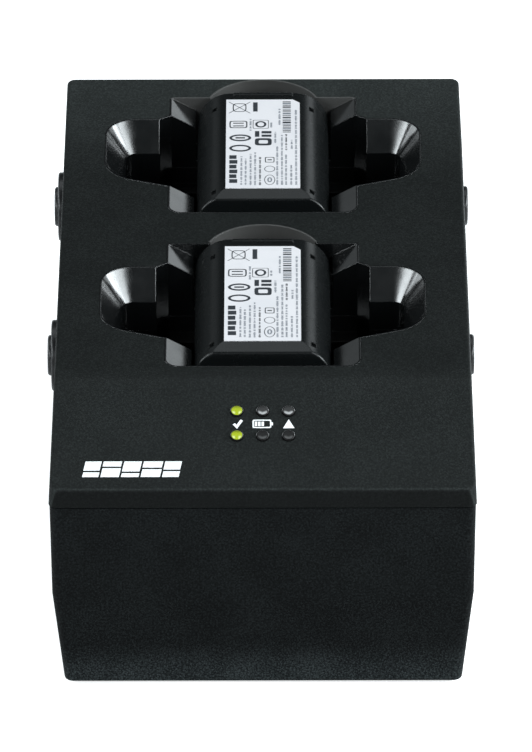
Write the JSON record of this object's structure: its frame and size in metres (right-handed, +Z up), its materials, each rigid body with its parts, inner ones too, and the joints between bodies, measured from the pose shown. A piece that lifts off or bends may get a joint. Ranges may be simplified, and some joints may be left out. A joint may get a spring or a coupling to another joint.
{
  "type": "docking battery charger",
  "caption": "Two-bay docking charger with a sloped indicator panel and two flat rechargeable packs lying in its bays.",
  "frame": {"origin": "on the table, under the middle of the case", "axes": "+X to the right of the indicator panel, +Y from the panel to the rear, +Z up"},
  "size_m": [0.0984, 0.165, 0.0679],
  "materials": {
    "cover_plastic": "fine moulded grain, satin",
    "base_plastic": "fine moulded grain",
    "bay_plastic": "polished moulding",
    "port_plastic": "polished moulding",
    "pack_plastic": "semi-gloss moulding",
    "label_film": "printed film",
    "cell_wrap": "sleeved cans",
    "board_laminate": "solder mask",
    "contact_metal": "gold plated",
    "spring_steel": "drawn wire",
    "screw_steel": "blackened steel",
    "foot_rubber": "matte",
    "insulator": "glass-filled nylon",
    "lens_lit": "clear moulding, lit",
    "lens_clear": "clear moulding",
    "chip_epoxy": "moulded epoxy",
    "ferrite": "pressed ferrite",
    "capacitor_can": "sleeved can",
    "header_plastic": "natural nylon",
    "lead_flex": "flat flexible lead",
    "lead_jacket": "soft jacket",
    "inlet_plastic": "moulded",
    "lamp_ceramic": "lamp body"
  },
  "bodies": {
    "charger": {"base_shell": "base_plastic", "bay_liner_front": "bay_plastic", "bay_liner_rear": "bay_plastic", "board_headers": "header_plastic", "board_screws": "screw_steel", "capacitors": "capacitor_can", "charger_chips": "chip_epoxy", "contact_leads": "lead_flex", "cover_screws": "screw_steel", "dc_inlet": "inlet_plastic", "dc_inlet_pin": "contact_metal", "indicator_board": "board_laminate", "indicator_lamps": "lamp_ceramic", "inductors": "ferrite", "lens_charging_front": "lens_clear", "lens_charging_rear": "lens_clear", "lens_fault_front": "lens_clear", "lens_fault_rear": "lens_clear", "lens_ready_front": "lens_lit", "lens_ready_rear": "lens_lit", "link_bezel_front": "port_plastic", "link_bezel_rear": "port_plastic", "link_leads": "lead_jacket", "link_sockets_left": "insulator", "link_sockets_right": "insulator", "main_board": "board_laminate", "nest_block_front": "insulator", "nest_block_rear": "insulator", "nest_springs_front": "spring_steel", "nest_springs_rear": "spring_steel", "panel_lead": "lead_flex", "processor_chip": "chip_epoxy", "rubber_feet": "foot_rubber", "slot_block_front": "insulator", "slot_block_rear": "insulator", "slot_springs_front": "spring_steel", "slot_springs_rear": "spring_steel", "slot_well_front": "bay_plastic", "slot_well_rear": "bay_plastic", "top_cover": "cover_plastic"},
    "pack_rear": {"pack_rear_cells": "cell_wrap", "pack_rear_contact_pads": "contact_metal", "pack_rear_label": "label_film", "pack_rear_lower_shell": "pack_plastic", "pack_rear_protection_board": "board_laminate", "pack_rear_upper_shell": "pack_plastic"},
    "nest_pins_rear": {"nest_pins_rear": "contact_metal"},
    "slot_pins_rear": {"slot_pins_rear": "contact_metal"},
    "link_plug_left_rear": {"link_plug_left_rear": "port_plastic"},
    "link_plug_right_rear": {"link_plug_right_rear": "port_plastic"},
    "pack_front": {"pack_front_cells": "cell_wrap", "pack_front_contact_pads": "contact_metal", "pack_front_label": "label_film", "pack_front_lower_shell": "pack_plastic", "pack_front_protection_board": "board_laminate", "pack_front_upper_shell": "pack_plastic"},
    "nest_pins_front": {"nest_pins_front": "contact_metal"},
    "slot_pins_front": {"slot_pins_front": "contact_metal"},
    "link_plug_left_front": {"link_plug_left_front": "port_plastic"},
    "link_plug_right_front": {"link_plug_right_front": "port_plastic"}
  },
  "joints": [
    {"name": "pack_rear_lift", "type": "slide", "parent": "charger", "child": "pack_rear", "axis": [0, 0, 1], "range_m": [0, 0.025]},
    {"name": "nest_pins_rear_press", "type": "slide", "parent": "charger", "child": "nest_pins_rear", "axis": [0, 0, 1], "range_m": [-0.0012, 0], "stiffness_N_per_m": 900, "springref_m": 0.0008, "deforming": ["nest_springs_rear"]},
    {"name": "slot_pins_rear_press", "type": "slide", "parent": "charger", "child": "slot_pins_rear", "axis": [0, 0, 1], "range_m": [-0.0015, 0], "stiffness_N_per_m": 900, "springref_m": 0.0008, "deforming": ["slot_springs_rear"]},
    {"name": "link_plug_left_rear_pull", "type": "slide", "parent": "charger", "child": "link_plug_left_rear", "axis": [-1, 0, 0], "range_m": [0, 0.012]},
    {"name": "link_plug_right_rear_pull", "type": "slide", "parent": "charger", "child": "link_plug_right_rear", "axis": [1, 0, 0], "range_m": [0, 0.012]},
    {"name": "pack_front_lift", "type": "slide", "parent": "charger", "child": "pack_front", "axis": [0, 0, 1], "range_m": [0, 0.025]},
    {"name": "nest_pins_front_press", "type": "slide", "parent": "charger", "child": "nest_pins_front", "axis": [0, 0, 1], "range_m": [-0.0012, 0], "stiffness_N_per_m": 900, "springref_m": 0.0008, "deforming": ["nest_springs_front"]},
    {"name": "slot_pins_front_press", "type": "slide", "parent": "charger", "child": "slot_pins_front", "axis": [0, 0, 1], "range_m": [-0.0015, 0], "stiffness_N_per_m": 900, "springref_m": 0.0008, "deforming": ["slot_springs_front"]},
    {"name": "link_plug_left_front_pull", "type": "slide", "parent": "charger", "child": "link_plug_left_front", "axis": [-1, 0, 0], "range_m": [0, 0.012]},
    {"name": "link_plug_right_front_pull", "type": "slide", "parent": "charger", "child": "link_plug_right_front", "axis": [1, 0, 0], "range_m": [0, 0.012]}
  ]
}
